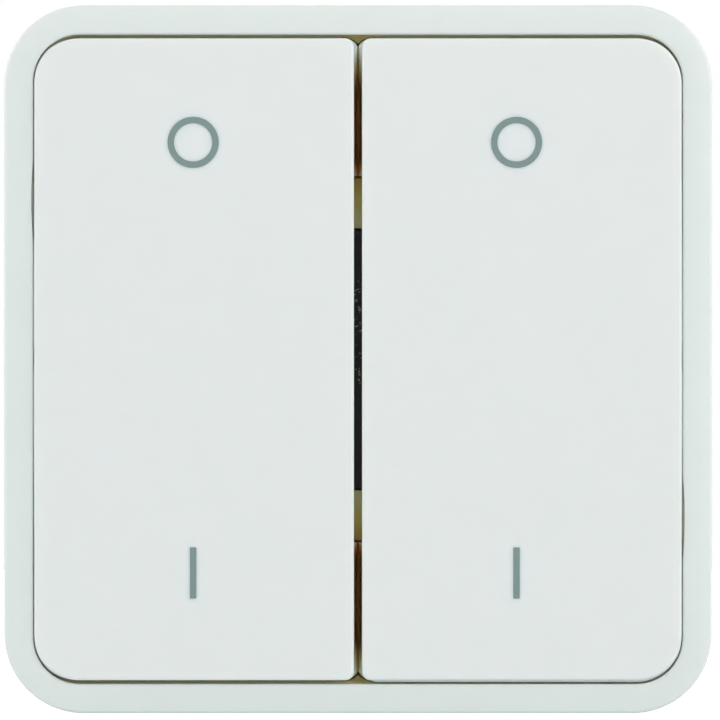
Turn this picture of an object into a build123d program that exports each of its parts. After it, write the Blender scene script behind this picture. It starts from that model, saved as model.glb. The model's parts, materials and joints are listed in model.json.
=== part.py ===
from build123d import *
from math import radians, sin
import os

# Two-gang push button for lighting control: two centre-return rockers in a square surround, on a
# carrier that clips into an enclosure, with the switching mechanism behind. Millimetres.
# +X is right, +Z is up as installed and the front faces -Y. The origin is the centre of the surround's
# rear rim, which seats on the enclosure. A height is measured forward from that rim, along -Y.

# Surround
face_size = 66.0
face_corner = 7.4
border = 2.75
aperture_corner = 4.3
frame_height = 9.2
frame_wall = 1.5
lip_thickness = 2.2
flat_width = 1.15
edge_drop = 0.27
crown_radius = 8.0
outer_round = 0.35
aperture_round = 0.25
nib_depth = 0.55
nib_length = 6.0
nib_pitch = 34.0

# Pry scoops in the surround's inner edge, one on each side
scoop_length = 8.0
scoop_depth = 0.15
scoop_reach = 1.3
scoop_notch = 0.2
scoop_z = 14.8

# Rockers
rocker_gap = 0.75
side_clearance = 0.1
end_clearance = 0.35
face_height = 9.8
rocker_face = 1.6
rocker_wall = 1.4
rocker_corner_clearance = 0.15
inner_corner = 0.8
edge_round = 0.25
skirt_base = 4.0
skirt_flare = 0.22
flare_height = 3.0
face_rib_width = 1.0
face_rib_height = 1.2
face_rib_inset = 7.9
pad_radius = 2.5

# Rocking movement
tilt_limit = 3.0
pivot_height = 5.2
pin_radius = 0.9
pin_clearance = 0.05
pin_reach = 2.2
outer_pin_end = 0.5
lug_thickness = 1.6
lug_radius = 1.7
lug_clearance = 0.6

# Carrier and seal
seal_thickness = 0.6
seal_width = 2.2
seal_bead_width = 1.0
seal_bead_height = 0.3
seal_recess = 0.1
plate_thickness = 1.4
carrier_clearance = 0.2
rim_side_clearance = 0.1
rim_end_clearance = 0.15
ear_thickness = 1.6
ear_radius = 2.0
ear_clearance = 0.85
hook_thickness = 1.4
hook_width = 7.0
hook_depth = 9.2
hook_barb = 0.9
hook_barb_length = 2.2
hook_inset = 0.4
hook_root = 0.8
hook_z = 12.5
collar_wall = 1.0
collar_depth = 1.2
collar_play = 0.15
plate_rib_width = 1.0
plate_rib_pitch = 20.0
plate_rib_end = 0.3

# Bearing bridge of the housing and the carrier's lands at its two ends
bridge_width = 6.8
bridge_length = 24.3
bridge_height = 7.1
bridge_round = 0.3
window_clearance = 0.1
land_length = 4.65
land_height = 6.9
land_clearance = 0.35

# Housing and terminal base
housing_size = 46.0
housing_corner = 3.0
housing_wall = 1.6
housing_front = 1.8
housing_depth = 18.0
side_rib_width = 1.2
side_rib_stand = 0.5
side_rib_pitch = 20.0
side_rib_end = 0.4
parting_bevel = 0.2
base_thickness = 3.2
base_bevel = 0.6
screw_inset = 3.6
screw_radius = 1.1
screw_clearance = 0.2
screw_grip = 2.6
screw_head_radius = 2.1
screw_head_height = 1.3
screw_head_bevel = 0.4
screw_head_clearance = 0.3
screw_sink = 1.5
screw_recess_width = 0.6
screw_recess_length = 2.8
screw_recess_depth = 0.7
post_radius = 2.6
boss_wall = 1.3
boss_end = 0.8

# Plungers and their guides
plunger_side_inset = 6.2
plunger_end_inset = 7.4
plunger_radius = 2.0
dome_angle = 30.0
guide_clearance = 0.05
guide_wall = 1.15
guide_stand = 0.8
guide_reach = 1.2
guide_hole_clearance = 0.15
tip_height = 4.6
tip_gap = 0.06
collar_radius = 3.4
collar_thickness = 1.0
collar_gap = 0.4
spigot_radius = 1.4
spigot_length = 4.2

# Contacts
contact_reach = 4.6
contact_clearance = 0.07
contact_width = 3.6
contact_margin = 1.4
bridge_strip = 0.5
bridge_strip_fit = 0.03
rivet_radius = 1.1
rivet_height = 0.35
strip_thickness = 0.8
strip_wall_gap = 0.1
strip_foot_gap = 0.5
busbar_spine = 4.0
busbar_leg_width = 6.0

# Return springs
spring_radius = 2.1
spring_wire = 0.44
spring_turns = 3
pillar_height = 5.4
pillar_radius = 3.3
spring_recess = 0.6
spring_recess_clearance = 0.3

# Terminals
terminal_step = 6.0
entry_radius = 1.6
entry_funnel = 0.5
entry_gap = 0.15
slot_offset = 4.9
slot_width = 1.4
slot_length = 2.6
clamp_thickness = 0.4
clamp_width = 3.6
clamp_offset = 6.2
clamp_bend = 0.8
clamp_back = 6.4
clamp_tip_gap = 0.5
clamp_tip_drop = 1.4
clamp_foot_gap = 0.9
clamp_rib = 1.2
gauge_length = 11.0
gauge_width = 1.8
gauge_depth = 0.4
gauge_z = 13.0

# Derived places
aperture = face_size - 2 * border
rocker_width = (aperture - rocker_gap) / 2 - side_clearance
rocker_length = aperture - 2 * end_clearance
rocker_center = (rocker_gap + rocker_width) / 2
rocker_corner = aperture_corner - rocker_corner_clearance
rocker_underside = face_height - rocker_face
skirt_inside = rocker_gap / 2 + rocker_width - rocker_wall
face_rib_z = rocker_length / 2 - face_rib_inset

plate_rear = seal_thickness
plate_front = plate_rear + plate_thickness
cavity_size = face_size - 2 * frame_wall
carrier_size = cavity_size - 2 * carrier_clearance
carrier_corner = face_corner - frame_wall - carrier_clearance
seal_size = cavity_size - 2 * (nib_depth + seal_recess)
seal_corner = carrier_corner - nib_depth

window_length = bridge_length + 2 * window_clearance
window_width = bridge_width + 2 * window_clearance
land_center = (window_length + land_length) / 2
notch_length = window_length + 2 * (land_length + land_clearance)

side_wall = housing_size / 2 - housing_wall
screw_place = housing_size / 2 - screw_inset
plunger_x = side_wall - plunger_side_inset
plunger_z = side_wall - plunger_end_inset
terminal_z = plunger_z - terminal_step
stroke = plunger_z * radians(tilt_limit)
guide_radius = plunger_radius + guide_wall
guide_front = plate_front + guide_stand
wall_inside = plate_rear - housing_front
guide_rear = wall_inside - guide_reach
collar_front = guide_rear - stroke - collar_gap
collar_rear = collar_front - collar_thickness
bridge_rear = collar_rear - bridge_strip
contact_front = bridge_rear - rivet_height - stroke - contact_clearance
strip_front = contact_front - rivet_height
strip_rear = strip_front - strip_thickness

base_front = plate_rear - housing_depth
base_rear = base_front - base_thickness
pillar_front = base_front + pillar_height
spring_seat = pillar_front - spring_recess
strip_outside = side_wall - strip_wall_gap
strip_inside = strip_outside - strip_thickness
strip_foot = base_front + strip_foot_gap
screw_seat = base_rear + screw_sink
screw_tip = plate_front + screw_grip

sides = {"left": -1, "right": 1}
ends = {"off": 1, "on": -1}
stations = {
    f"{side}_{end}": (sides[side] * plunger_x, ends[end] * plunger_z) for side in sides for end in ends
}


def at(height):
    """Sketch plane parallel to the face: sketch x is X and sketch y is Z."""
    return Plane.XZ.offset(height)


def across(z):
    """Section plane normal to Z: sketch x is X and sketch y is height."""
    return Plane(origin=(0, 0, z), x_dir=(1, 0, 0), z_dir=(0, 0, -1))


def along(x):
    """Section plane normal to X: sketch x is Z and sketch y is height."""
    return Plane(origin=(x, 0, 0), x_dir=(0, 0, 1), z_dir=(1, 0, 0))


def edges_at(builder, height):
    """Edges of a part that lie at one height."""
    near = 0.001
    return builder.edges().filter_by_position(Axis.Y, -height - near, -height + near)


def save(piece, name):
    """Label a finished piece and write it."""
    piece.label = name
    export_step(piece, f"parts/{name}.step")


os.makedirs("parts", exist_ok=True)

# Surround: a ring with a crowned front, hollow behind its lip
with BuildPart() as surround_frame:
    with BuildSketch(at(0)):
        RectangleRounded(face_size, face_size, face_corner)
    extrude(amount=frame_height)
    front = surround_frame.faces().sort_by(Axis.Y)[0]
    chamfer(front.edges(), border - flat_width, edge_drop, reference=front)
    fillet(edges_at(surround_frame, frame_height), crown_radius)
    fillet(edges_at(surround_frame, frame_height - edge_drop), outer_round)
    with BuildSketch(at(0)):
        RectangleRounded(cavity_size, cavity_size, face_corner - frame_wall)
    extrude(amount=frame_height - lip_thickness, mode=Mode.SUBTRACT)
    with BuildSketch(at(0)):
        RectangleRounded(aperture, aperture, aperture_corner)
    extrude(amount=frame_height, mode=Mode.SUBTRACT)
    # The eight edges nearest the middle are the aperture's sides and corners
    aperture_edges = edges_at(surround_frame, frame_height).sort_by(SortBy.DISTANCE)[:8]
    fillet(aperture_edges, aperture_round)

    # Clip nibs behind the carrier's rear
    for place in (-nib_pitch / 2, nib_pitch / 2):
        for section in (across(place), along(place)):
            with BuildSketch(section):
                with BuildLine():
                    Polyline(
                        (cavity_size / 2 + frame_wall / 2, plate_rear),
                        (cavity_size / 2 - nib_depth, plate_rear),
                        (cavity_size / 2, plate_rear - nib_depth),
                        (cavity_size / 2 + frame_wall / 2, plate_rear - nib_depth),
                        close=True,
                    )
                make_face()
                mirror(about=Plane.YZ)
            extrude(amount=nib_length / 2, both=True)

    # Pry scoops: a slanting hollow in the front and a shallow notch in the edge below it
    scoop_radius = scoop_length**2 / (8 * scoop_depth) + scoop_depth / 2
    edge = aperture / 2
    for side in (-1, 1):
        center = (side * edge, -frame_height - scoop_radius + scoop_depth, -side * scoop_z)
        with BuildSketch(Plane(origin=center, z_dir=(side * scoop_reach, -scoop_depth, 0))):
            Circle(scoop_radius)
        extrude(amount=border, both=True, mode=Mode.SUBTRACT)
        with BuildSketch(at(frame_height - lip_thickness)):
            with BuildLine():
                ThreePointArc(
                    (side * edge, -side * scoop_z - scoop_length / 2),
                    (side * (edge + scoop_notch), -side * scoop_z),
                    (side * edge, -side * scoop_z + scoop_length / 2),
                )
                Polyline(
                    (side * edge, -side * scoop_z + scoop_length / 2),
                    (side * (edge - side_clearance), -side * scoop_z),
                    (side * edge, -side * scoop_z - scoop_length / 2),
                )
            make_face()
        extrude(amount=lip_thickness, mode=Mode.SUBTRACT)

# Rocker: a hollow cap that pivots on the bridge at its inner side and on a carrier ear at its outer side
with BuildPart() as rocker_right:
    with BuildSketch(at(skirt_base)) as outline:
        with Locations((rocker_center, 0)):
            Rectangle(rocker_width, rocker_length)
        fillet(outline.vertices().group_by(Axis.X)[-1], rocker_corner)
        fillet(outline.vertices().group_by(Axis.X)[0], inner_corner)
    extrude(amount=face_height - skirt_base)
    fillet(edges_at(rocker_right, face_height), edge_round)
    with BuildSketch(at(skirt_base)) as hollow:
        with Locations((rocker_center, 0)):
            Rectangle(rocker_width - 2 * rocker_wall, rocker_length - 2 * rocker_wall)
        fillet(hollow.vertices().group_by(Axis.X)[-1], rocker_corner - rocker_wall)
        with Locations((rocker_gap / 2, 0)):
            Rectangle(2 * (rocker_wall + land_clearance), notch_length)
    extrude(amount=rocker_underside - skirt_base, mode=Mode.SUBTRACT)

    # The inner skirt flares towards the other rocker beside the carrier's lands
    flare_length = (rocker_length - notch_length) / 2 - inner_corner
    for end in (-1, 1):
        with BuildSketch(across(end * (notch_length + flare_length) / 2)):
            with BuildLine():
                Polyline(
                    (rocker_gap / 2 - skirt_flare, skirt_base),
                    (rocker_gap / 2 + rocker_wall / 2, skirt_base),
                    (rocker_gap / 2 + rocker_wall / 2, skirt_base + flare_height),
                    (rocker_gap / 2, skirt_base + flare_height),
                    close=True,
                )
            make_face()
        extrude(amount=flare_length / 2, both=True)

    # Pressing pads and stiffening ribs under the face
    with BuildSketch(at(tip_height + tip_gap)):
        with Locations((plunger_x, -plunger_z), (plunger_x, plunger_z)):
            Circle(pad_radius)
    extrude(amount=rocker_underside - tip_height - tip_gap)
    with BuildSketch(at(rocker_underside - face_rib_height)):
        with Locations((rocker_center, -face_rib_z), (rocker_center, face_rib_z)):
            Rectangle(rocker_width - rocker_wall, face_rib_width)
    extrude(amount=face_rib_height)

    # Inner pivot: a lug under the face with a pin that points to the bridge
    lug_inside = bridge_width / 2 + lug_clearance
    with BuildSketch(along(lug_inside)):
        with Locations((0, pivot_height)):
            Circle(lug_radius)
        with Locations((0, (pivot_height + rocker_underside) / 2)):
            Rectangle(2 * lug_radius, rocker_underside - pivot_height)
    extrude(amount=lug_thickness)
    with BuildSketch(along(lug_inside)):
        with Locations((0, pivot_height)):
            Circle(pin_radius)
    extrude(amount=-lug_clearance - pin_reach)

    # Outer pivot: a pin on the inside of the skirt
    with BuildSketch(along(skirt_inside)):
        with Locations((0, pivot_height)):
            Circle(pin_radius)
    extrude(amount=-ear_clearance - ear_thickness - outer_pin_end)

with BuildPart() as rocker_left:
    mirror(rocker_right.part, about=Plane.YZ)

# Carrier: a plate inside the surround with a rim under its lip, lands, pivot ears, bosses and clip hooks
with BuildPart() as rocker_carrier:
    with BuildSketch(at(plate_rear)):
        RectangleRounded(carrier_size, carrier_size, carrier_corner)
    extrude(amount=plate_thickness)
    with BuildSketch(at(plate_front)):
        rim_width = rocker_gap + 2 * (rocker_width + rim_side_clearance)
        rim_length = rocker_length + 2 * rim_end_clearance
        RectangleRounded(carrier_size, carrier_size, carrier_corner)
        RectangleRounded(rim_width, rim_length, rocker_corner + rim_side_clearance, mode=Mode.SUBTRACT)
    extrude(amount=frame_height - lip_thickness - plate_front)
    with BuildSketch(at(plate_front)):
        with GridLocations(0, 2 * land_center, 1, 2):
            Rectangle(bridge_width, land_length)
    extrude(amount=land_height - plate_front)
    with BuildSketch(at(plate_front)):
        with GridLocations(2 * screw_place, 2 * screw_place, 2, 2):
            Circle(screw_radius + boss_wall)
    extrude(amount=screw_grip + boss_end)

    ear_outside = skirt_inside - ear_clearance
    for side in (-1, 1):
        with BuildSketch(along(side * (ear_outside - ear_thickness / 2))):
            with Locations((0, pivot_height)):
                Circle(ear_radius)
            with Locations((0, (plate_front + pivot_height) / 2)):
                Rectangle(2 * ear_radius, pivot_height - plate_front)
            with Locations((0, pivot_height)):
                Circle(pin_radius + pin_clearance, mode=Mode.SUBTRACT)
        extrude(amount=ear_thickness / 2, both=True)

    hook_outside = seal_size / 2 - seal_width - hook_inset
    for place in (-hook_z, hook_z):
        with BuildSketch(across(place)):
            with BuildLine():
                Polyline(
                    (hook_outside - hook_thickness - hook_root, plate_rear),
                    (hook_outside, plate_rear),
                    (hook_outside, hook_barb_length - hook_depth),
                    (hook_outside + hook_barb, hook_barb_length - hook_depth - hook_barb / 2),
                    (hook_outside, -hook_depth),
                    (hook_outside - hook_thickness, -hook_depth),
                    (hook_outside - hook_thickness, plate_rear - hook_root),
                    close=True,
                )
            make_face()
            mirror(about=Plane.YZ)
        extrude(amount=hook_width / 2, both=True)

    # A collar behind the plate locates the housing, and ribs stiffen the plate around it
    collar_inside = housing_size + 2 * collar_play
    collar_outside = collar_inside + 2 * collar_wall
    rib_length = seal_size / 2 - seal_width - plate_rib_end - collar_outside / 2 + collar_wall / 2
    rib_place = collar_outside - collar_wall + rib_length
    with BuildSketch(at(plate_rear)):
        RectangleRounded(collar_outside, collar_outside, housing_corner + collar_wall)
        RectangleRounded(collar_inside, collar_inside, housing_corner, mode=Mode.SUBTRACT)
        with GridLocations(rib_place, plate_rib_pitch, 2, 3):
            Rectangle(rib_length, plate_rib_width)
        with GridLocations(plate_rib_pitch, rib_place, 3, 2):
            Rectangle(plate_rib_width, rib_length)
    extrude(amount=-collar_depth)

    with BuildSketch(at(plate_rear)):
        Rectangle(window_width, window_length)
        with GridLocations(2 * plunger_x, 2 * plunger_z, 2, 2):
            Circle(guide_radius + guide_hole_clearance)
    extrude(amount=plate_thickness, mode=Mode.SUBTRACT)
    with BuildSketch(at(plate_rear)):
        with GridLocations(2 * screw_place, 2 * screw_place, 2, 2):
            Circle(screw_radius)
    extrude(amount=screw_tip - plate_rear, mode=Mode.SUBTRACT)

# Seal: a flat gasket behind the carrier's edge, with a bead that meets the enclosure
with BuildPart() as seal_ring:
    with BuildSketch(at(seal_recess)):
        RectangleRounded(seal_size, seal_size, seal_corner)
        inside = seal_size - 2 * seal_width
        RectangleRounded(inside, inside, seal_corner - seal_width, mode=Mode.SUBTRACT)
    extrude(amount=plate_rear - seal_recess)
    with BuildSketch(at(seal_recess)):
        bead_margin = (seal_width - seal_bead_width) / 2
        bead_outside = seal_size - 2 * bead_margin
        bead_inside = bead_outside - 2 * seal_bead_width
        bead_corner = seal_corner - bead_margin
        RectangleRounded(bead_outside, bead_outside, bead_corner)
        RectangleRounded(bead_inside, bead_inside, bead_corner - seal_bead_width, mode=Mode.SUBTRACT)
    extrude(amount=-seal_recess - seal_bead_height)
    chamfer(edges_at(seal_ring, -seal_bead_height), seal_bead_height / 2)

# Housing: a hood with the bearing bridge, the plunger guides and four screw posts
with BuildPart() as mechanism_housing:
    with BuildSketch(at(plate_rear)):
        RectangleRounded(housing_size, housing_size, housing_corner)
    extrude(amount=-housing_depth)
    chamfer(edges_at(mechanism_housing, base_front), parting_bevel)
    with BuildSketch(at(base_front + side_rib_end)):
        with GridLocations(side_rib_pitch, housing_size, 2, 2):
            Rectangle(side_rib_width, 2 * side_rib_stand)
    extrude(amount=housing_depth - collar_depth - 2 * side_rib_end)
    with BuildSketch(at(wall_inside)):
        inside = housing_size - 2 * housing_wall
        RectangleRounded(inside, inside, housing_corner - housing_wall)
    extrude(amount=base_front - wall_inside, mode=Mode.SUBTRACT)
    with BuildSketch(at(wall_inside)):
        with GridLocations(2 * screw_place, 2 * screw_place, 2, 2):
            Circle(post_radius)
    extrude(amount=base_front - wall_inside)
    with BuildSketch(at(plate_rear)):
        Rectangle(bridge_width, bridge_length)
    extrude(amount=bridge_height - plate_rear)
    fillet(edges_at(mechanism_housing, bridge_height), bridge_round)
    with BuildSketch(at(guide_rear)):
        with GridLocations(2 * plunger_x, 2 * plunger_z, 2, 2):
            Circle(guide_radius)
    extrude(amount=guide_front - guide_rear)
    with BuildSketch(at(guide_rear)):
        with GridLocations(2 * plunger_x, 2 * plunger_z, 2, 2):
            Circle(plunger_radius + guide_clearance)
    extrude(amount=guide_front - guide_rear, mode=Mode.SUBTRACT)
    with BuildSketch(at(base_front)):
        with GridLocations(2 * screw_place, 2 * screw_place, 2, 2):
            Circle(screw_radius + screw_clearance)
    extrude(amount=housing_depth, mode=Mode.SUBTRACT)
    with BuildSketch(along(0)):
        with Locations((0, pivot_height)):
            Circle(pin_radius + pin_clearance)
    extrude(amount=bridge_width / 2, both=True, mode=Mode.SUBTRACT)

# Terminals: the face that a wire is pressed against, the way to the wire, and the height along the base
terminals = {
    name: (sides[name.split("_")[0]] * strip_inside, -sides[name.split("_")[0]], z / plunger_z * terminal_z)
    for name, (x, z) in stations.items()
}
terminals["common"] = (strip_thickness / 2, 1, 0)
entry_offset = entry_radius + entry_gap

# Base: closes the housing from behind and carries springs, contacts and terminals
with BuildPart() as terminal_base:
    with BuildSketch(at(base_rear)):
        RectangleRounded(housing_size, housing_size, housing_corner)
    extrude(amount=base_thickness)
    chamfer(edges_at(terminal_base, base_rear), base_bevel)
    chamfer(edges_at(terminal_base, base_front), parting_bevel)
    with BuildSketch(at(base_rear)):
        with Locations((0, -gauge_z)):
            SlotOverall(gauge_length, gauge_width)
    extrude(amount=gauge_depth, mode=Mode.SUBTRACT)
    with BuildSketch(at(base_front)):
        with GridLocations(2 * plunger_x, 2 * plunger_z, 2, 2):
            Circle(pillar_radius)
    extrude(amount=pillar_height)
    post_inside = plunger_x + pillar_radius
    with BuildSketch(at(base_front)):
        with GridLocations(plunger_x - pillar_radius, 2 * plunger_z, 2, 2):
            Rectangle(contact_width, contact_width)
        with GridLocations(post_inside + strip_inside, 2 * plunger_z, 2, 2):
            Rectangle(strip_inside - post_inside, contact_width)
    extrude(amount=strip_rear - base_front)
    with BuildSketch(at(base_front)):
        for face, way, z in terminals.values():
            with Locations((face + way * (clamp_offset + (clamp_thickness + clamp_rib) / 2), z)):
                Rectangle(clamp_rib, clamp_width)
    extrude(amount=clamp_foot_gap + clamp_back)
    with BuildSketch(at(spring_seat)):
        with GridLocations(2 * plunger_x, 2 * plunger_z, 2, 2):
            Circle(spring_radius + spring_wire / 2 + spring_recess_clearance)
    extrude(amount=spring_recess, mode=Mode.SUBTRACT)
    with BuildSketch(at(base_rear)):
        for face, way, z in terminals.values():
            with Locations((face + way * entry_offset, z)):
                Circle(entry_radius)
            with Locations((face + way * slot_offset, z)):
                Rectangle(slot_width, slot_length)
        with GridLocations(2 * screw_place, 2 * screw_place, 2, 2):
            Circle(screw_radius + screw_clearance)
    extrude(amount=base_thickness, mode=Mode.SUBTRACT)
    mouths = edges_at(terminal_base, base_rear).filter_by(GeomType.CIRCLE)
    chamfer(mouths.filter_by(lambda mouth: mouth.radius == entry_radius), entry_funnel)
    with BuildSketch(at(base_rear)):
        with GridLocations(2 * screw_place, 2 * screw_place, 2, 2):
            Circle(screw_head_radius + screw_head_clearance)
    extrude(amount=screw_sink, mode=Mode.SUBTRACT)

# Screws: four equal ones from the rear, through base and housing into the carrier's bosses
with BuildPart() as assembly_screws:
    with BuildSketch(at(screw_seat)):
        with GridLocations(2 * screw_place, 2 * screw_place, 2, 2):
            Circle(screw_radius)
    extrude(amount=screw_tip - screw_seat)
    with BuildSketch(at(screw_seat)):
        with GridLocations(2 * screw_place, 2 * screw_place, 2, 2):
            Circle(screw_head_radius)
    extrude(amount=-screw_head_height)
    chamfer(edges_at(assembly_screws, screw_seat - screw_head_height), screw_head_bevel)
    with BuildSketch(at(screw_seat - screw_head_height)):
        with GridLocations(2 * screw_place, 2 * screw_place, 2, 2):
            Rectangle(screw_recess_length, screw_recess_width)
            Rectangle(screw_recess_width, screw_recess_length)
    extrude(amount=screw_recess_depth, mode=Mode.SUBTRACT)

# Busbar: an H-shaped strip under the inner ends of all four bridges, with a leg to the common terminal
with BuildPart() as common_busbar:
    inner_rivet = plunger_x - contact_reach
    with BuildSketch(at(strip_rear)):
        Rectangle(busbar_spine, 2 * plunger_z)
        with GridLocations(0, 2 * plunger_z, 1, 2):
            Rectangle(2 * (inner_rivet + contact_margin), contact_width)
    extrude(amount=strip_thickness)
    with BuildSketch(at(strip_front)):
        with GridLocations(2 * inner_rivet, 2 * plunger_z, 2, 2):
            Circle(rivet_radius)
    extrude(amount=rivet_height)
    with BuildSketch(at(strip_foot)):
        Rectangle(strip_thickness, busbar_leg_width)
    extrude(amount=strip_rear - strip_foot)


def plunger(x, z):
    """Domed pin with a stop collar and a spigot for the contact strip and the spring."""
    dome_radius = plunger_radius / sin(radians(dome_angle))
    spigot_end = collar_rear - spigot_length
    with BuildPart() as pin:
        with BuildSketch(across(z)):
            with BuildLine():
                dome = CenterArc((x, tip_height - dome_radius), dome_radius, 90, -dome_angle)
                Polyline(
                    dome @ 1,
                    (x + plunger_radius, collar_front),
                    (x + collar_radius, collar_front),
                    (x + collar_radius, collar_rear),
                    (x + spigot_radius, collar_rear),
                    (x + spigot_radius, spigot_end),
                    (x, spigot_end),
                    dome @ 0,
                )
            make_face()
        revolve(axis=Axis((x, 0, z), (0, 1, 0)))
    return pin.part


def contact_bridge(x, z):
    """Moving contact strip on a plunger's spigot, with a rivet at each end."""
    with BuildPart() as strip:
        with BuildSketch(at(bridge_rear)):
            with Locations((x, z)):
                Rectangle(2 * (contact_reach + contact_margin), contact_width)
                Circle(spigot_radius + bridge_strip_fit, mode=Mode.SUBTRACT)
        extrude(amount=bridge_strip)
        with BuildSketch(at(bridge_rear)):
            with Locations((x - contact_reach, z), (x + contact_reach, z)):
                Circle(rivet_radius)
        extrude(amount=-rivet_height)
    return strip.part


def return_spring(x, z):
    """Coil spring between a contact strip and its post."""
    rise = bridge_rear - spring_seat - spring_wire
    with BuildPart() as coil:
        with BuildLine() as path:
            Helix(
                pitch=rise / spring_turns,
                height=rise,
                radius=spring_radius,
                center=(x, -spring_seat - spring_wire / 2, z),
                direction=(0, -1, 0),
            )
        with BuildSketch(Plane(origin=path.line @ 0, z_dir=path.line % 0)):
            RegularPolygon(spring_wire / 2, 6)
        sweep(is_frenet=True)
    return coil.part


def switched_contact(side, end):
    """Bent contact strip: a pad with a rivet, and a plate along the housing wall to its terminal."""
    z = end * plunger_z
    pad_end = abs(z) + contact_width / 2
    plate_start = terminal_z - clamp_width / 2
    with BuildPart() as strip:
        with BuildSketch(at(strip_rear)):
            with Locations((side * (plunger_x + pillar_radius + strip_outside) / 2, z)):
                Rectangle(strip_outside - plunger_x - pillar_radius, contact_width)
        extrude(amount=strip_thickness)
        with BuildSketch(at(strip_foot)):
            with Locations((side * (strip_inside + strip_outside) / 2, end * (pad_end + plate_start) / 2)):
                Rectangle(strip_thickness, pad_end - plate_start)
        extrude(amount=strip_front - strip_foot)
        with BuildSketch(at(strip_front)):
            with Locations((side * (plunger_x + contact_reach), z)):
                Circle(rivet_radius)
        extrude(amount=rivet_height)
    return strip.part


def terminal_clamp(face, way, z):
    """Bent leaf spring whose slanting leg presses a wire against the contact."""
    back = face + way * clamp_offset
    foot = base_front + clamp_foot_gap
    with BuildPart() as leaf:
        with BuildSketch(across(z)):
            with BuildLine():
                FilletPolyline(
                    (back, foot + clamp_back),
                    (back, foot),
                    (face + way * clamp_tip_gap, foot + clamp_back - clamp_tip_drop),
                    radius=clamp_bend,
                )
            trace(line_width=clamp_thickness)
        extrude(amount=clamp_width / 2, both=True)
    return leaf.part


save(surround_frame.part, "surround_frame")
save(rocker_left.part, "rocker_left")
save(rocker_right.part, "rocker_right")
save(rocker_carrier.part, "rocker_carrier")
save(seal_ring.part, "seal_ring")
save(mechanism_housing.part, "mechanism_housing")
save(terminal_base.part, "terminal_base")
save(assembly_screws.part, "assembly_screws")
save(common_busbar.part, "common_busbar")
for name, (x, z) in stations.items():
    side, end = name.split("_")
    save(plunger(x, z), f"plunger_{name}")
    save(contact_bridge(x, z), f"contact_bridge_{name}")
    save(return_spring(x, z), f"return_spring_{name}")
    save(switched_contact(sides[side], ends[end]), f"switched_contact_{name}")
for name, place in terminals.items():
    save(terminal_clamp(*place), f"terminal_clamp_{name}")
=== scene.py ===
import bpy
import bmesh
import json
from math import cos, pi, radians, sin
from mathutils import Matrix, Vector


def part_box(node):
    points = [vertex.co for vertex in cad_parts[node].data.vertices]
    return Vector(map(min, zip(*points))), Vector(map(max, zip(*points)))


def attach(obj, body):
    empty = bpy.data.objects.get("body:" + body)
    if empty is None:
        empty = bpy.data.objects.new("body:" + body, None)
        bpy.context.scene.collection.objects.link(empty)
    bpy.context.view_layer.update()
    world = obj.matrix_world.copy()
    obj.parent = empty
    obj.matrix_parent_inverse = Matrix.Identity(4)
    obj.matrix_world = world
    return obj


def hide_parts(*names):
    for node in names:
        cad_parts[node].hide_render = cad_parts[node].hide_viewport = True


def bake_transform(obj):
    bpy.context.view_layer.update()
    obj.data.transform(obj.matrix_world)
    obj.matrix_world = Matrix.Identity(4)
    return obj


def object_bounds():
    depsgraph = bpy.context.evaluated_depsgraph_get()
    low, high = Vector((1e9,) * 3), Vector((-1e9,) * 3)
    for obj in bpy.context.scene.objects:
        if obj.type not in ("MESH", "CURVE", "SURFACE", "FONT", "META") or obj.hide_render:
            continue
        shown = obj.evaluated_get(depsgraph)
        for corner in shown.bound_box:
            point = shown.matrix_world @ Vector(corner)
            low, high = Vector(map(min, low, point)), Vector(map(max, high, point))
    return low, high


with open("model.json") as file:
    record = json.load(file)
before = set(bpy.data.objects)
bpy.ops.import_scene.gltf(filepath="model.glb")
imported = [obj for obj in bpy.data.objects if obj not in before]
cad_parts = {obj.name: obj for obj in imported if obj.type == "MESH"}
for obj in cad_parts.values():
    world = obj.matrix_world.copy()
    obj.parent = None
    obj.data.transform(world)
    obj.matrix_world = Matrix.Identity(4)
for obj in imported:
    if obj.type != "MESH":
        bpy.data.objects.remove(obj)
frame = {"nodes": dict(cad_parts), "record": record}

nodes = frame["nodes"]
cadBox = [list(corner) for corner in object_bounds()]
mm = 0.001  # pieces are given in millimetres, their heights forward from the surround's rear rim
print("frame loaded with", len(nodes), "nodes")


# small helpers for node trees

def addNode(tree, kind, place, **settings):
    node = tree.nodes.new(kind)
    node.location = place
    for name, value in settings.items():
        setattr(node, name, value)
    return node


def newGroup(name, inputs, outputs):
    group = bpy.data.node_groups.new(name, "ShaderNodeTree")
    for label, value in inputs.items():
        socket = group.interface.new_socket(label, in_out="INPUT", socket_type="NodeSocketFloat")
        socket.default_value = value
    for label in outputs:
        group.interface.new_socket(label, in_out="OUTPUT", socket_type="NodeSocketFloat")
    start = addNode(group, "NodeGroupInput", (-900, 0))
    end = addNode(group, "NodeGroupOutput", (900, 0))
    return group, start.outputs, end.inputs


def placeInMillimetres(tree):
    where = addNode(tree, "ShaderNodeTexCoord", (-900, 300))
    scale = addNode(tree, "ShaderNodeVectorMath", (-720, 300), operation="SCALE")
    scale.inputs["Scale"].default_value = 1 / mm
    tree.links.new(where.outputs["Object"], scale.inputs[0])
    return scale.outputs["Vector"]


def shrinkBy(tree, vector, size, place):
    perSize = addNode(tree, "ShaderNodeMath", place, operation="DIVIDE")
    perSize.inputs[0].default_value = 1.0
    tree.links.new(size, perSize.inputs[1])
    scaled = addNode(tree, "ShaderNodeVectorMath", (place[0] + 160, place[1]), operation="SCALE")
    tree.links.new(vector, scaled.inputs[0])
    tree.links.new(perSize.outputs[0], scaled.inputs["Scale"])
    return scaled.outputs["Vector"]


def mathNode(tree, operation, first, second, place):
    node = addNode(tree, "ShaderNodeMath", place, operation=operation)
    for socket, value in zip(node.inputs, (first, second)):
        if isinstance(value, (int, float)):
            socket.default_value = value
        else:
            tree.links.new(value, socket)
    return node.outputs[0]


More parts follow.
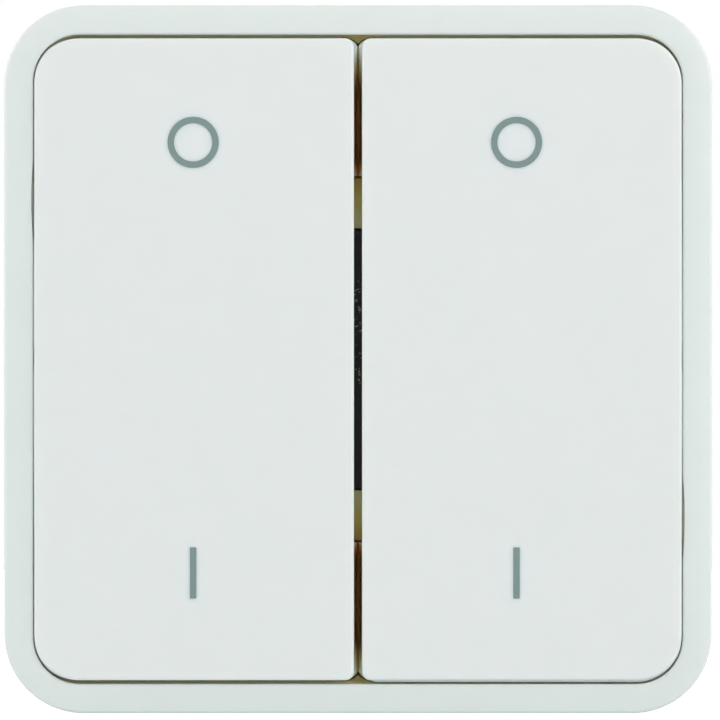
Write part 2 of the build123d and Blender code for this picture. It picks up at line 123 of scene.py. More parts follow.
def addNoise(tree, place, vector, **settings):
    noise = addNode(tree, "ShaderNodeTexNoise", place)
    noise.inputs["Scale"].default_value = 1.0
    for label, value in settings.items():
        noise.inputs[label].default_value = value
    tree.links.new(vector, noise.inputs["Vector"])
    return noise.outputs["Fac"]


# shared effects

def makeMouldedGrain():
    group, given, out = newGroup(
        "mouldedGrain", {"Grain Size": 0.15, "Mottle Size": 3.0}, ("Height", "Mottle", "Smudge")
    )
    where = placeInMillimetres(group)
    grains = shrinkBy(group, where, given["Grain Size"], (-640, 160))
    group.links.new(addNoise(group, (-300, 300), grains, Detail=2.0), out["Height"])
    clouds = shrinkBy(group, where, given["Mottle Size"], (-640, -200))
    group.links.new(addNoise(group, (-300, -200), clouds, Detail=3.0), out["Mottle"])
    hand = addNoise(group, (-300, -440), where, Scale=0.11, Detail=4.0, Distortion=0.6)
    group.links.new(hand, out["Smudge"])
    return group


# painted light and shade: a mask by height and place, over which warm light and deep shade are painted on
# the walls of the gaps and the slot
def makePaintedGapLight():
    group, given, out = newGroup(
        "paintedGapLight",
        {
            "Clear Height": 9.4,
            "Deep Height": 8.0,
            "Floor Height": 1.5,
            "Half Width": 31.0,
            "Half Length": 31.0,
            "Soft Length": 0.01,
        },
        ("Mask",),
    )
    parts = addNode(group, "ShaderNodeSeparateXYZ", (-540, 300))
    group.links.new(placeInMillimetres(group), parts.inputs[0])
    height = mathNode(group, "MULTIPLY", parts.outputs["Y"], -1.0, (-360, 300))
    fade = addNode(group, "ShaderNodeMapRange", (-180, 200), interpolation_type="SMOOTHSTEP")
    group.links.new(height, fade.inputs["Value"])
    group.links.new(given["Clear Height"], fade.inputs["From Min"])
    group.links.new(given["Deep Height"], fade.inputs["From Max"])
    sideways = mathNode(group, "ABSOLUTE", parts.outputs["X"], 0.0, (-360, 0))
    upright = mathNode(group, "ABSOLUTE", parts.outputs["Z"], 0.0, (-360, -160))
    narrow = mathNode(group, "LESS_THAN", sideways, given["Half Width"], (-180, 0))
    full = mathNode(group, "SUBTRACT", given["Half Length"], given["Soft Length"], (-360, -320))
    taper = addNode(group, "ShaderNodeMapRange", (-180, -160), interpolation_type="SMOOTHSTEP")
    group.links.new(upright, taper.inputs["Value"])
    group.links.new(given["Half Length"], taper.inputs["From Min"])
    group.links.new(full, taper.inputs["From Max"])
    inFront = mathNode(group, "GREATER_THAN", height, given["Floor Height"], (-180, 440))
    inside = mathNode(group, "MULTIPLY", narrow, taper.outputs["Result"], (0, -60))
    reached = mathNode(group, "MULTIPLY", inside, inFront, (180, -60))
    group.links.new(mathNode(group, "MULTIPLY", fade.outputs["Result"], reached, (360, 100)), out["Mask"])
    return group


def makePaleGrit():
    group, given, out = newGroup(
        "paleGrit",
        {
            "Grit Size": 0.3,
            "Cover": 0.6,
            "Edge": 0.06,
            "Low": -3.0,
            "High": 8.0,
            "Half Width": 3.5,
            "Floor Height": 2.0,
        },
        ("Mask",),
    )
    where = placeInMillimetres(group)
    grains = shrinkBy(group, where, given["Grit Size"], (-640, 160))
    noise = addNoise(group, (-300, 200), grains, Detail=3.0, Roughness=0.7)
    speck = addNode(group, "ShaderNodeMapRange", (-80, 200), interpolation_type="SMOOTHSTEP")
    full = mathNode(group, "ADD", given["Cover"], given["Edge"], (-260, -20))
    group.links.new(noise, speck.inputs["Value"])
    group.links.new(given["Cover"], speck.inputs["From Min"])
    group.links.new(full, speck.inputs["From Max"])
    parts = addNode(group, "ShaderNodeSeparateXYZ", (-540, -200))
    group.links.new(where, parts.inputs[0])
    above = mathNode(group, "GREATER_THAN", parts.outputs["Z"], given["Low"], (-300, -200))
    below = mathNode(group, "LESS_THAN", parts.outputs["Z"], given["High"], (-300, -360))
    band = mathNode(group, "MULTIPLY", above, below, (-100, -260))
    sideways = mathNode(group, "ABSOLUTE", parts.outputs["X"], 0.0, (-300, -520))
    narrow = mathNode(group, "LESS_THAN", sideways, given["Half Width"], (-100, -520))
    height = mathNode(group, "MULTIPLY", parts.outputs["Y"], -1.0, (-300, -680))
    inFront = mathNode(group, "GREATER_THAN", height, given["Floor Height"], (-100, -680))
    strip = mathNode(group, "MULTIPLY", narrow, inFront, (80, -560))
    reached = mathNode(group, "MULTIPLY", band, strip, (240, -300))
    group.links.new(mathNode(group, "MULTIPLY", speck.outputs["Result"], reached, (420, 100)), out["Mask"])
    return group


def makeDrawnStreaks():
    group, given, out = newGroup("drawnStreaks", {"Streak Size": 0.1, "Length": 8.0}, ("Streak", "Tarnish"))
    where = placeInMillimetres(group)
    stretch = addNode(group, "ShaderNodeVectorMath", (-520, 240), operation="DIVIDE")
    group.links.new(shrinkBy(group, where, given["Streak Size"], (-860, 60)), stretch.inputs[0])
    along = addNode(group, "ShaderNodeCombineXYZ", (-700, -60))
    along.inputs["X"].default_value = 1.0
    along.inputs["Y"].default_value = 1.0
    group.links.new(given["Length"], along.inputs["Z"])
    group.links.new(along.outputs[0], stretch.inputs[1])
    group.links.new(addNoise(group, (-300, 240), stretch.outputs[0], Detail=2.0), out["Streak"])
    group.links.new(addNoise(group, (-300, -120), where, Scale=0.5, Detail=4.0), out["Tarnish"])
    return group


mouldedGrain = makeMouldedGrain()
paintedGapLight = makePaintedGapLight()
paleGrit = makePaleGrit()
drawnStreaks = makeDrawnStreaks()
print("shared effects made:", len(bpy.data.node_groups))


# helpers for finishes

noiseSpan = (0.3, 0.7)  # most of a noise's values lie between these


def newFinish(name):
    finish = bpy.data.materials.new(name)
    finish.use_nodes = True
    tree = finish.node_tree
    tree.nodes.clear()
    shader = addNode(tree, "ShaderNodeBsdfPrincipled", (600, 0))
    end = addNode(tree, "ShaderNodeOutputMaterial", (900, 0))
    tree.links.new(shader.outputs["BSDF"], end.inputs["Surface"])
    return finish, tree, shader


def placeGroup(tree, group, place, values):
    node = addNode(tree, "ShaderNodeGroup", place, node_tree=group)
    for label, value in values.items():
        node.inputs[label].default_value = value
    return node.outputs


def mixColour(tree, mask, first, second, place):
    mix = addNode(tree, "ShaderNodeMix", place, data_type="RGBA")
    tree.links.new(mask, mix.inputs["Factor"])
    for socket, value in ((mix.inputs["A"], first), (mix.inputs["B"], second)):
        if isinstance(value, tuple):
            socket.default_value = (*value, 1.0)
        else:
            tree.links.new(value, socket)
    return mix.outputs["Result"]


def spread(tree, value, low, high, place):
    fit = addNode(tree, "ShaderNodeMapRange", place)
    fit.inputs["From Min"].default_value, fit.inputs["From Max"].default_value = noiseSpan
    fit.inputs["To Min"].default_value = low
    fit.inputs["To Max"].default_value = high
    tree.links.new(value, fit.inputs["Value"])
    return fit.outputs["Result"]


def addBump(tree, shader, height, strength, depth):
    bump = addNode(tree, "ShaderNodeBump", (380, -300))
    bump.inputs["Strength"].default_value = strength
    bump.inputs["Distance"].default_value = depth * mm
    tree.links.new(height, bump.inputs["Height"])
    tree.links.new(bump.outputs["Normal"], shader.inputs["Normal"])


# moulded plastics

# paints layers of light and shade over the walls of the gaps and the slot, one colour for each layer, by
# height and place
def addPaintedLightAndShade(tree, colour, paintedLightAndShade):
    for order, paintedLayer in enumerate(paintedLightAndShade):
        values = dict(zip(("Clear Height", "Deep Height"), paintedLayer["heights"]))
        values.update(zip(("Half Width", "Half Length"), paintedLayer["reach"]))
        if "soft" in paintedLayer:
            values["Soft Length"] = paintedLayer["soft"]
        paintedMask = placeGroup(tree, paintedGapLight, (-700, 400 + 260 * order), values)
        colour = mixColour(tree, paintedMask["Mask"], colour, paintedLayer["colour"], (-100 + 160 * order, 400))
    return colour


def makePlastic(name, look):
    finish, tree, shader = newFinish(name)
    grain = placeGroup(
        tree, mouldedGrain, (-700, 0), {"Grain Size": look["grainSize"], "Mottle Size": look["mottleSize"]}
    )
    mottle = spread(tree, grain["Mottle"], 0.0, 1.0, (-500, 160))
    colour = mixColour(tree, mottle, look["colour"], look["mottleColour"], (-280, 200))
    # painted light and shade in the gaps and the slot
    colour = addPaintedLightAndShade(tree, colour, look.get("paintedLightAndShade", ()))
    if "grit" in look:
        grit = placeGroup(tree, paleGrit, (-700, 600), look["grit"])
        colour = mixColour(tree, grit["Mask"], colour, look["gritColour"], (200, 320))
    tree.links.new(colour, shader.inputs["Base Color"])
    low, high = look["roughness"]
    tree.links.new(spread(tree, grain["Smudge"], low, high, (0, -100)), shader.inputs["Roughness"])
    shader.inputs["IOR"].default_value = look["ior"]
    if "glowThrough" in look:
        shader.subsurface_method = "BURLEY"
        shader.inputs["Subsurface Weight"].default_value = look["glowThrough"]
        shader.inputs["Subsurface Radius"].default_value = look["glowColour"]
        shader.inputs["Subsurface Scale"].default_value = look["glowDepth"] * mm
    addBump(tree, shader, grain["Height"], look["bump"], look["grainDepth"])
    return finish


surroundLook = {
    "colour": (0.757, 0.797, 0.780),
    "mottleColour": (0.747, 0.789, 0.770),
    # painted light: the walls of the aperture are painted paler and warmer below the face
    "paintedLightAndShade": ({"colour": (0.95, 0.92, 0.74), "heights": (8.95, 8.3), "reach": (30.6, 30.6)},),
    "glowThrough": 0.7,
    "glowColour": (1.0, 0.7, 0.4),
    "glowDepth": 0.7,
    "roughness": (0.42, 0.5),
    "ior": 1.46,
    "grainSize": 0.16,
    "mottleSize": 2.6,
    "grainDepth": 0.004,
    "bump": 0.35,
}
surroundWhite = makePlastic("surroundWhite", surroundLook)

rockerLook = {
    "colour": (0.792, 0.810, 0.803),
    "mottleColour": (0.782, 0.802, 0.795),
    # painted light and shade: the walls below the face are painted paler, and the slot's walls warm, then
    # amber lower down, as light glowing in the slot
    "paintedLightAndShade": (
        {"colour": (0.95, 0.94, 0.85), "heights": (9.35, 8.6), "reach": (40.0, 40.0)},
        {"colour": (0.96, 0.88, 0.56), "heights": (8.3, 6.8), "reach": (1.6, 29.0)},
        {"colour": (0.96, 0.50, 0.16), "heights": (7.5, 6.3), "reach": (1.6, 27.6), "soft": 3.2},
    ),
    "glowThrough": 0.7,
    "glowColour": (1.0, 0.7, 0.4),
    "glowDepth": 1.3,
    "roughness": (0.28, 0.36),
    "ior": 1.46,
    "grainSize": 0.13,
    "mottleSize": 2.2,
    "grainDepth": 0.003,
    "bump": 0.3,
}
rockerWhite = makePlastic("rockerWhite", rockerLook)

carrierLook = {
    "colour": (0.89, 0.86, 0.63),
    "mottleColour": (0.87, 0.83, 0.59),
    # painted light and shade in the slot: olive and dark brown shade, paler lands fading into it, warm
    # amber low down
    "paintedLightAndShade": (
        {"colour": (0.80, 0.70, 0.30), "heights": (9.0, 8.0), "reach": (1.6, 31.0)},
        {"colour": (0.74, 0.46, 0.11), "heights": (9.0, 8.0), "reach": (3.0, 22.0)},
        {"colour": (0.94, 0.78, 0.24), "heights": (9.0, 8.0), "reach": (3.0, 17.2), "soft": 2.6},
        {"colour": (0.97, 0.94, 0.48), "heights": (9.0, 8.0), "reach": (3.0, 14.9), "soft": 2.2},
        {"colour": (0.95, 0.58, 0.18), "heights": (4.0, 2.5), "reach": (3.0, 29.0)},
    ),
    "roughness": (0.48, 0.58),
    "ior": 1.48,
    "grainSize": 0.2,
    "mottleSize": 1.6,
    "grainDepth": 0.005,
    "bump": 0.4,
}
carrierIvory = makePlastic("carrierIvory", carrierLook)

mechanismLook = {
    "colour": (0.012, 0.015, 0.014),
    "mottleColour": (0.018, 0.021, 0.019),
    "gritColour": (0.45, 0.46, 0.36),
    "grit": {"Grit Size": 0.42, "Cover": 0.58, "Low": -2.4, "High": 7.4},
    "roughness": (0.5, 0.64),
    "ior": 1.5,
    "grainSize": 0.22,
    "mottleSize": 1.4,
    "grainDepth": 0.008,
    "bump": 0.5,
}
mechanismBlack = makePlastic("mechanismBlack", mechanismLook)

terminalLook = {
    "colour": (0.190, 0.200, 0.202),
    "mottleColour": (0.181, 0.191, 0.194),
    "roughness": (0.46, 0.6),
    "ior": 1.5,
    "grainSize": 0.2,
    "mottleSize": 2.0,
    "grainDepth": 0.007,
    "bump": 0.45,
}
terminalGrey = makePlastic("terminalGrey", terminalLook)

sealLook = {
    "colour": (0.03, 0.031, 0.031),
    "mottleColour": (0.045, 0.046, 0.046),
    "roughness": (0.68, 0.82),
    "ior": 1.45,
    "grainSize": 0.12,
    "mottleSize": 1.0,
    "grainDepth": 0.006,
    "bump": 0.5,
}
sealRubber = makePlastic("sealRubber", sealLook)

plungerLook = {
    "colour": (0.70, 0.70, 0.66),
    "mottleColour": (0.66, 0.66, 0.62),
    "roughness": (0.28, 0.36),
    "ior": 1.48,
    "grainSize": 0.1,
    "mottleSize": 1.2,
    "grainDepth": 0.002,
    "bump": 0.2,
}
plungerWhite = makePlastic("plungerWhite", plungerLook)
print("plastics made")


# metals

def makeMetal(name, look):
    finish, tree, shader = newFinish(name)
    drawn = placeGroup(
        tree, drawnStreaks, (-700, 0), {"Streak Size": look["streakSize"], "Length": look["streakLength"]}
    )
    tarnish = spread(tree, drawn["Tarnish"], 0.0, 1.0, (-460, 160))
    colour = mixColour(tree, tarnish, look["colour"], look["tarnishColour"], (-200, 200))
    tree.links.new(colour, shader.inputs["Base Color"])
    low, high = look["roughness"]
    tree.links.new(spread(tree, drawn["Streak"], low, high, (0, -100)), shader.inputs["Roughness"])
    shader.inputs["Metallic"].default_value = 1.0
    addBump(tree, shader, drawn["Streak"], look["bump"], look["streakDepth"])
    return finish


screwLook = {
    "colour": (0.62, 0.63, 0.62),
    "tarnishColour": (0.52, 0.51, 0.46),
    "roughness": (0.24, 0.42),
    "streakSize": 0.12,
    "streakLength": 1.5,
    "streakDepth": 0.006,
    "bump": 0.3,
}
screwZinc = makeMetal("screwZinc", screwLook)

brassLook = {
    "colour": (0.72, 0.52, 0.2),
    "tarnishColour": (0.6, 0.4, 0.14),
    "roughness": (0.22, 0.4),
    "streakSize": 0.08,
    "streakLength": 10.0,
    "streakDepth": 0.004,
    "bump": 0.25,
}
contactBrass = makeMetal("contactBrass", brassLook)

springLook = {
    "colour": (0.56, 0.56, 0.55),
    "tarnishColour": (0.46, 0.46, 0.45),
    "roughness": (0.2, 0.36),
    "streakSize": 0.06,
    "streakLength": 6.0,
    "streakDepth": 0.003,
    "bump": 0.25,
}
springSteel = makeMetal("springSteel", springLook)
print("metals made")


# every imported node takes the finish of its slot

finishOfSlot = {
    "surround_white": surroundWhite,
    "rocker_white": rockerWhite,
    "carrier_ivory": carrierIvory,
    "seal_rubber": sealRubber,
    "mechanism_black": mechanismBlack,
    "terminal_grey": terminalGrey,
    "screw_steel": screwZinc,
    "contact_brass": contactBrass,
    "spring_steel": springSteel,
    "plunger_white": plungerWhite,
}


def dressNodes():
    for row in frame["record"]["subparts"]:
        piece = nodes[row["node"]]
        piece.data.materials.clear()
        piece.data.materials.append(finishOfSlot[row["material_slot"]])


dressNodes()
print("nodes dressed")


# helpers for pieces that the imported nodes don't have

def newPiece(name, body, mesh, finish, place=(0, 0, 0)):
    data = bpy.data.meshes.new(name)
    mesh.normal_update()
    bmesh.ops.recalc_face_normals(mesh, faces=mesh.faces)
    mesh.to_mesh(data)
    mesh.free()
    data.materials.append(finish)
    piece = bpy.data.objects.new(name, data)
    bpy.context.scene.collection.objects.link(piece)
    piece.location = place
    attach(piece, body)
    return piece


def bridgeLoops(mesh, first, second):
    count = len(first)
    for step in range(count):
        after = (step + 1) % count
        mesh.faces.new((first[step], first[after], second[after], second[step]))


def makePrism(name, body, first, second, finish, slot, place=(0, 0, 0)):
    mesh = bmesh.new()
    back, front = ([mesh.verts.new(point) for point in loop] for loop in (first, second))
    bridgeLoops(mesh, back, front)
    mesh.faces.new(front)
    mesh.faces.new(list(reversed(back)))
    return newPiece(name, body, mesh, finish, place)


# return springs: each is a copy of its imported coil, which reaches from its plunger to the base; the
# imported coil is hidden

springStations = ("left_off", "left_on", "right_off", "right_on")


def makeSpring(name, node):
    piece = bpy.data.objects.new(name, nodes[node].data.copy())
    bpy.context.scene.collection.objects.link(piece)
    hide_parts(node)
    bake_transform(piece)


for station in springStations:
    makeSpring("spring_coil_" + station, "return_spring_" + station)
print("springs made")


# drafted rocker walls: below their edge they lean out, so the gaps, the corners and the slot narrow

draftRoot = 0.3  # how far a draft reaches into its wall
draftSkin = 0.02  # how far its upper edge lies under the wall's surface


def draftSection(shape, station):
    x, z, outX, outZ, stand, low, top = station
    flank = (
        (-draftRoot, top),
        (-draftSkin, top),
        (stand * shape["hollow"] - draftSkin, (low + top) / 2),
        (stand - draftSkin, low),
        (-draftRoot, low),
    )
    return [((x + outX * out) * mm, -height * mm, (z + outZ * out) * mm) for out, height in flank]


def makeDraft(name, body, shape, stations):
    mesh = bmesh.new()
    loops = [[mesh.verts.new(point) for point in draftSection(shape, station)] for station in stations]
    for first, second in zip(loops, loops[1:]):
        bridgeLoops(mesh, first, second)
    mesh.faces.new(loops[0])
    mesh.faces.new(list(reversed(loops[-1])))
    return newPiece(name, body, mesh, rockerWhite)


sideDraft = {
    "topHeight": 9.5,
    "lowHeight": 9.05,
    "hollow": 0.7,  # share of the stand at half height
    "stand": 0.105,
    "reach": 23.0,
    "steps": 92,
    "notchReach": 1.5,  # the wall stands back a little at mid length
    "notchDepth": 0.35,
}


def sideStand(z):
    stand = sideDraft["stand"] * (1 - (z / sideDraft["reach"]) ** 2)
    nearNotch = max(0.0, 1 - (z / sideDraft["notchReach"]) ** 2)
    return stand * (1 - sideDraft["notchDepth"] * nearNotch)


def sideStations(way, outer):
    steps, reach = sideDraft["steps"], sideDraft["reach"]
    places = [reach * (2 * step / steps - 1) for step in range(steps + 1)]
    heights = (sideDraft["lowHeight"], sideDraft["topHeight"])
    return [(way * outer, z, way, 0, sideStand(z), *heights) for z in places]


slotDraft = {
    "topHeight": 9.45,
    "lowHeight": 8.6,
    "hollow": 0.4,
    "stand": 0.35,
    "slotHalf": 0.375,
    "cornerRound": 0.8,
    "deepTop": 6.3,  # the flare lies deep between the carrier's land and the slot's end
    "deepLow": 4.1,
    "deepStand": 0.2,
    "landEnd": 17.1,
    "landRun": 1.8,  # it rises towards the land over this length
    "landShare": 0.65,
    "ends": {  # it rises towards the slot's top, 1, and foot, -1
        1: {"run": 4.2, "share": 1.0},
        -1: {"run": 3.0, "share": 0.76},
    },
    "closeBy": 0.3,  # share of the rise by which it has its full stand
    "steps": 96,
    "turnEnd": 60.0,
    "turnSteps": 8,
}


def turnStand(turn):
    return slotDraft["stand"] * max(0.0, 1 - turn / slotDraft["turnEnd"])


def slotFlank(place, turnAt, end):
    shape = slotDraft["ends"][end]
    landNear = slotDraft["landShare"] * (1 - (place - slotDraft["landEnd"]) / slotDraft["landRun"])
    endNear = shape["share"] * (1 - (turnAt - place) / shape["run"])
    near = max(0.0, landNear, endNear)
    closed = min(1.0, near / slotDraft["closeBy"])
    return tuple(
        slotDraft[deep] + share * (slotDraft[high] - slotDraft[deep])
        for share, deep, high in (
            (closed, "deepStand", "stand"),
            (near, "deepLow", "lowHeight"),
            (near, "deepTop", "topHeight"),
        )
    )


def slotStations(way, end, length):
    half, radius = slotDraft["slotHalf"], slotDraft["cornerRound"]
    turnAt = length - radius
    stations = []
    for step in range(slotDraft["steps"]):
        z = slotDraft["landEnd"] + (turnAt - slotDraft["landEnd"]) * step / slotDraft["steps"]
        stations.append((way * half, end * z, -way, 0, *slotFlank(z, turnAt, end)))
    heights = slotFlank(turnAt, turnAt, end)[1:]
    for step in range(slotDraft["turnSteps"] + 1):
        turn = slotDraft["turnEnd"] * step / slotDraft["turnSteps"]
        across, upward = cos(radians(turn)), sin(radians(turn))
        x = half + radius * (1 - across)
        z = end * (turnAt + radius * upward)
        stations.append((way * x, z, -way * across, end * upward, turnStand(turn), *heights))
    return stations


endDraft = {
    "topHeight": 9.5,
    "lowHeight": 8.62,
    "hollow": 0.84,
    "stand": 0.22,
    "sideStand": 0.105,
    "cornerRound": 4.15,
    "cornerStart": 12.0,  # degrees round the corner, from the rocker's end to its side
    "cornerFull": 40.0,
    "cornerFade": 70.0,
    "cornerEnd": 90.0,
    "cornerSteps": 18,
    "footStart": 1.15,
    "footRise": 0.5,
    "footSteps": 60,
}


def cornerStations(way, end, outer, length, rising):
    radius, turnEnd = endDraft["cornerRound"], endDraft["cornerEnd"]
    first = endDraft["cornerStart"] if rising else 0.0
    heights = (endDraft["lowHeight"], endDraft["topHeight"])
    stations = []
    for step in range(endDraft["cornerSteps"] + 1):
        turn = first + (turnEnd - first) * step / endDraft["cornerSteps"]
        across, along = sin(radians(turn)), cos(radians(turn))
        stand = endDraft["stand"] + (endDraft["sideStand"] - endDraft["stand"]) * across
        fade = min(1.0, (turnEnd - turn) / (turnEnd - endDraft["cornerFade"]))
        if rising:
            fade = min(fade, (turn - first) / (endDraft["cornerFull"] - first))
        x = way * (outer - radius + radius * across)
        z = end * (length - radius + radius * along)
        stations.append((x, z, way * across, end * along, stand * fade, *heights))
    return stations


def footStations(outer, length):
    start, steps = endDraft["footStart"], endDraft["footSteps"]
    run = outer - endDraft["cornerRound"] - start
    heights = (endDraft["lowHeight"], endDraft["topHeight"])
    stations = []
    for step in range(steps):
        x = start + run * step / steps
        share = min(1.0, (x - start) / endDraft["footRise"])
        stations.append((x, -length, 0, -1, endDraft["stand"] * share, *heights))
    return stations + cornerStations(1, -1, outer, length, False)


# both rockers lean out at their sides and slot, the left one at its corners too, the right one at its foot
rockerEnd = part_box("rocker_right")[1].z / mm
for rocker, way in (("rocker_left", -1), ("rocker_right", 1)):
    outer = max(abs(corner.x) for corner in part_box(rocker)) / mm
    makeDraft(rocker + "_side_draft", rocker, sideDraft, sideStations(way, outer))
    for place, end in (("top", 1), ("foot", -1)):
        makeDraft(rocker + "_slot_draft_" + place, rocker, slotDraft, slotStations(way, end, rockerEnd))
        if way < 0:
            corner = cornerStations(way, end, outer, rockerEnd, True)
            makeDraft(rocker + "_corner_draft_" + place, rocker, endDraft, corner)
    if way > 0:
        makeDraft(rocker + "_foot_draft", rocker, endDraft, footStations(outer, rockerEnd))
print("rocker walls drafted")


# ivory ledges of the carrier in the two ends of the slot

ledge = {
    "height": 6.6,
    "foot": 1.9,
    "clearance": 0.16,
    "firstTurn": 22.0,
    "lastTurn": 82.0,
    "turnSteps": 10,
    "rimReach": 30.2,
}


def ledgeOutline():
    half, radius = slotDraft["slotHalf"], slotDraft["cornerRound"]
    flank = []
    for step in range(ledge["turnSteps"] + 1):
        turn = ledge["firstTurn"] + (ledge["lastTurn"] - ledge["firstTurn"]) * step / ledge["turnSteps"]
        reach = radius + turnStand(turn) + ledge["clearance"]
        x = half + radius - reach * cos(radians(turn))
        flank.append((x, rockerEnd - radius + reach * sin(radians(turn))))
    flank.append((flank[-1][0], ledge["rimReach"]))
    return flank + [(-x, z) for x, z in reversed(flank)]


def makeLedge(name, end):
    back, front = (
        [(x * mm, -height * mm, end * z * mm) for x, z in ledgeOutline()]
        for height in (ledge["foot"], ledge["height"])
    )
    return makePrism(name, "base", back, front, carrierIvory, "carrier_ivory")


makeLedge("slot_ledge_top", 1)
makeLedge("slot_ledge_foot", -1)
print("slot ledges made")


# floors of the two notches in the surround's inner edge

notchFloor = {
    "height": 8.5,
    "foot": 6.9,
    "edge": 30.25,
    "length": 8.0,
    "depth": 0.25,
    "place": 14.8,
    "steps": 16,
}


def makeNotchFloor(name, way):
    edge, half = notchFloor["edge"], notchFloor["length"] / 2
    outline = [(edge, half), (edge, -half)]
    for step in range(1, notchFloor["steps"]):
        share = 2 * step / notchFloor["steps"] - 1
        outline.append((edge + notchFloor["depth"] * (1 - share**2), share * half))
    middle = -way * notchFloor["place"]
    back, front = (
        [(way * x * mm, -height * mm, (middle + z) * mm) for x, z in outline]
        for height in (notchFloor["foot"], notchFloor["height"])
    )
    return makePrism(name, "base", back, front, surroundWhite, "surround_white")


makeNotchFloor("notch_floor_left", -1)
makeNotchFloor("notch_floor_right", 1)
print("notch floors made")


# printed marks: a ring near the top and a bar near the bottom of each rocker

markLook = {
    "colour": (0.196, 0.276, 0.264),
    "mottleColour": (0.214, 0.295, 0.282),
    "roughness": (0.5, 0.6),
    "ior": 1.45,
    "grainSize": 0.08,
    "mottleSize": 0.5,
    "grainDepth": 0.003,
    "bump": 0.3,
}
printInk = makePlastic("printInk", markLook)

marks = {
    "inkDepth": 0.02,
    "stroke": 0.6,
    "size": 4.76,
    "barRound": 0.06,
    "barTurns": (0, 30, 60, 90),
    "ringSteps": 128,
    "ringUp": 20.2,
    "barUp": -19.9,
    "across": {"rocker_left": -15.355, "rocker_right": 14.76},
}


def ringOutlines():
    steps = marks["ringSteps"]
    outer = marks["size"] / 2
    turns = [2 * pi * step / steps for step in range(steps)]
    return [
        [(radius * cos(turn), radius * sin(turn)) for turn in turns]
        for radius in (outer, outer - marks["stroke"])
    ]


def barOutline():
    halfWide = marks["stroke"] / 2 - marks["barRound"]
    halfTall = marks["size"] / 2 - marks["barRound"]
    corners = ((1, 1, 0), (-1, 1, 90), (-1, -1, 180), (1, -1, 270))
    points = []
    for right, up, first in corners:
        for turn in marks["barTurns"]:
            angle = radians(first + turn)
            x = right * halfWide + marks["barRound"] * cos(angle)
            points.append((x, up * halfTall + marks["barRound"] * sin(angle)))
    return points


def inkLoops(outline):
    return [[(x * mm, -height * mm, z * mm) for x, z in outline] for height in (0.0, marks["inkDepth"])]


def makeRing(name, body, place):
    mesh = bmesh.new()
    edges = [loop for outline in ringOutlines() for loop in inkLoops(outline)]
    loops = [[mesh.verts.new(point) for point in edge] for edge in edges]
    outerBack, outerFront, innerBack, innerFront = loops
    bridgeLoops(mesh, outerBack, outerFront)
    bridgeLoops(mesh, outerFront, innerFront)
    bridgeLoops(mesh, innerFront, innerBack)
    bridgeLoops(mesh, innerBack, outerBack)
    return newPiece(name, body, mesh, printInk, place)


def makeBar(name, body, place):
    return makePrism(name, body, *inkLoops(barOutline()), printInk, "print_grey", place)


for rocker, across in marks["across"].items():
    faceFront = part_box(rocker)[0].y
    side = rocker.split("_")[1]
    makeRing("off_mark_" + side, rocker, Vector((across * mm, faceFront, marks["ringUp"] * mm)))
    makeBar("on_mark_" + side, rocker, Vector((across * mm, faceFront, marks["barUp"] * mm)))
print("marks printed")


# stage, in metres: a pale floor under the object, a bright surround and soft lamps

stageLook = {
    "floorHalf": 0.6,
    "floorColour": (0.93, 0.94, 0.94),
    "floorCloud": (0.90, 0.915, 0.915),
    "floorCloudScale": 40.0,
    "floorRoughness": 0.9,
    "bounceColour": (0.31, 0.34, 0.335),
    "bounceGlow": 0.39,
    "floorGlow": 0.7,
    "glowColour": (0.94, 1.0, 0.985),
    "skyColour": (0.985, 1.0, 0.996),
    "skyTop": 0.72,
    "skyLow": 1.06,
}


def makeFloorPaper():
    finish, tree, shader = newFinish("floorPaper")
    where = addNode(tree, "ShaderNodeTexCoord", (-700, 0))
    cloud = addNoise(tree, (-500, 0), where.outputs["Object"], Scale=stageLook["floorCloudScale"])
    seen = mixColour(tree, cloud, stageLook["floorColour"], stageLook["floorCloud"], (-280, 60))
    ray = addNode(tree, "ShaderNodeLightPath", (-280, 400))
    colour = mixColour(tree, ray.outputs["Is Camera Ray"], stageLook["bounceColour"], seen, (0, 200))
    tree.links.new(colour, shader.inputs["Base Color"])
    glow = addNode(tree, "ShaderNodeMapRange", (0, -200))
    glow.inputs["To Min"].default_value = stageLook["bounceGlow"]
    glow.inputs["To Max"].default_value = stageLook["floorGlow"]
    tree.links.new(ray.outputs["Is Camera Ray"], glow.inputs["Value"])
    tree.links.new(glow.outputs["Result"], shader.inputs["Emission Strength"])
    shader.inputs["Emission Color"].default_value = (*stageLook["glowColour"], 1.0)
    shader.inputs["Roughness"].default_value = stageLook["floorRoughness"]
    return finish


def makeFloor():
    half = stageLook["floorHalf"]
    level = cadBox[0][2]
    data = bpy.data.meshes.new("floor")
    corners = [(-half, -half, level), (half, -half, level), (half, half, level), (-half, half, level)]
    data.from_pydata(corners, [], [(0, 1, 2, 3)])
    data.materials.append(makeFloorPaper())
    floor = bpy.data.objects.new("floor", data)
    bpy.context.scene.collection.objects.link(floor)


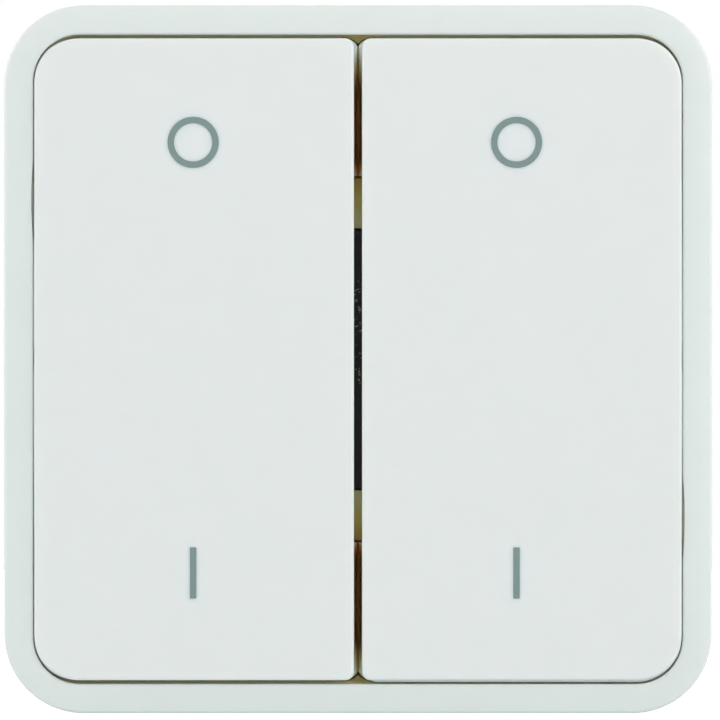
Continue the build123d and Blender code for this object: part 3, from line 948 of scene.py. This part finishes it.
def makeSky():
    sky = bpy.data.worlds.new("studioSky")
    bpy.context.scene.world = sky
    sky.use_nodes = True
    tree = sky.node_tree
    tree.nodes.clear()
    where = addNode(tree, "ShaderNodeTexCoord", (-800, 0))
    parts = addNode(tree, "ShaderNodeSeparateXYZ", (-620, 0))
    tree.links.new(where.outputs["Generated"], parts.inputs[0])
    level = addNode(tree, "ShaderNodeMapRange", (-440, 0))
    level.inputs["From Min"].default_value = -1.0
    level.inputs["To Min"].default_value = stageLook["skyLow"]
    level.inputs["To Max"].default_value = stageLook["skyTop"]
    tree.links.new(parts.outputs["Z"], level.inputs["Value"])
    lit = addNode(tree, "ShaderNodeBackground", (-200, 100))
    lit.inputs["Color"].default_value = (*stageLook["skyColour"], 1.0)
    tree.links.new(level.outputs["Result"], lit.inputs["Strength"])
    plain = addNode(tree, "ShaderNodeBackground", (-200, -100))
    plain.inputs["Color"].default_value = (1.0, 1.0, 1.0, 1.0)
    ray = addNode(tree, "ShaderNodeLightPath", (-200, 300))
    both = addNode(tree, "ShaderNodeMixShader", (60, 0))
    tree.links.new(ray.outputs["Is Camera Ray"], both.inputs[0])
    tree.links.new(lit.outputs[0], both.inputs[1])
    tree.links.new(plain.outputs[0], both.inputs[2])
    end = addNode(tree, "ShaderNodeOutputWorld", (260, 0))
    tree.links.new(both.outputs[0], end.inputs["Surface"])


lamps = {
    "keyLamp": {"from": (0.6, -1.1, 0.36), "size": (0.6, 0.6), "power": 3.4},
    "leftLamp": {"from": (-0.9, -0.14, 0.05), "size": (0.08, 0.7), "power": 2.5},
    "rightLamp": {"from": (0.9, -0.14, 0.05), "size": (0.08, 0.7), "power": 1.9},
    "rearLamp": {"from": (-0.9, 1.0, 0.35), "size": (0.5, 0.6), "power": 3.0},
}


def makeLamps():
    for name, lamp in lamps.items():
        data = bpy.data.lights.new(name, "AREA")
        data.shape = "RECTANGLE"
        data.size, data.size_y = lamp["size"]
        data.energy = lamp["power"]
        piece = bpy.data.objects.new(name, data)
        bpy.context.scene.collection.objects.link(piece)
        piece.location = lamp["from"]
        piece.rotation_euler = Vector(lamp["from"]).to_track_quat("Z", "Y").to_euler()


makeFloor()
makeSky()
makeLamps()
print("stage set")


# camera: straight on, with the object's middle where the photograph has it

cameraLook = {
    "distance": 0.9,  # metres
    "sensorWidth": 36.0,
    "framePixels": 720,
    "faceWidth": 66.0,
    "facePixels": 707.5,
    "outlineHeight": 8.2,
    "middlePixels": (358.0, 359.3),
}


def makeCamera():
    data = bpy.data.cameras.new("camera")
    pixel = cameraLook["faceWidth"] / cameraLook["facePixels"] * mm
    reach = cameraLook["distance"] - cameraLook["outlineHeight"] * mm
    data.sensor_width = cameraLook["sensorWidth"]
    data.lens = data.sensor_width * reach / (cameraLook["framePixels"] * pixel)
    camera = bpy.data.objects.new("camera", data)
    bpy.context.scene.collection.objects.link(camera)
    right, down = (cameraLook["framePixels"] / 2 - value for value in cameraLook["middlePixels"])
    camera.location = (right * pixel, -cameraLook["distance"], -down * pixel)
    camera.rotation_euler = (radians(90), 0, 0)
    bpy.context.scene.camera = camera


makeCamera()
bpy.context.scene.view_settings.view_transform = "Standard"
print("camera placed")
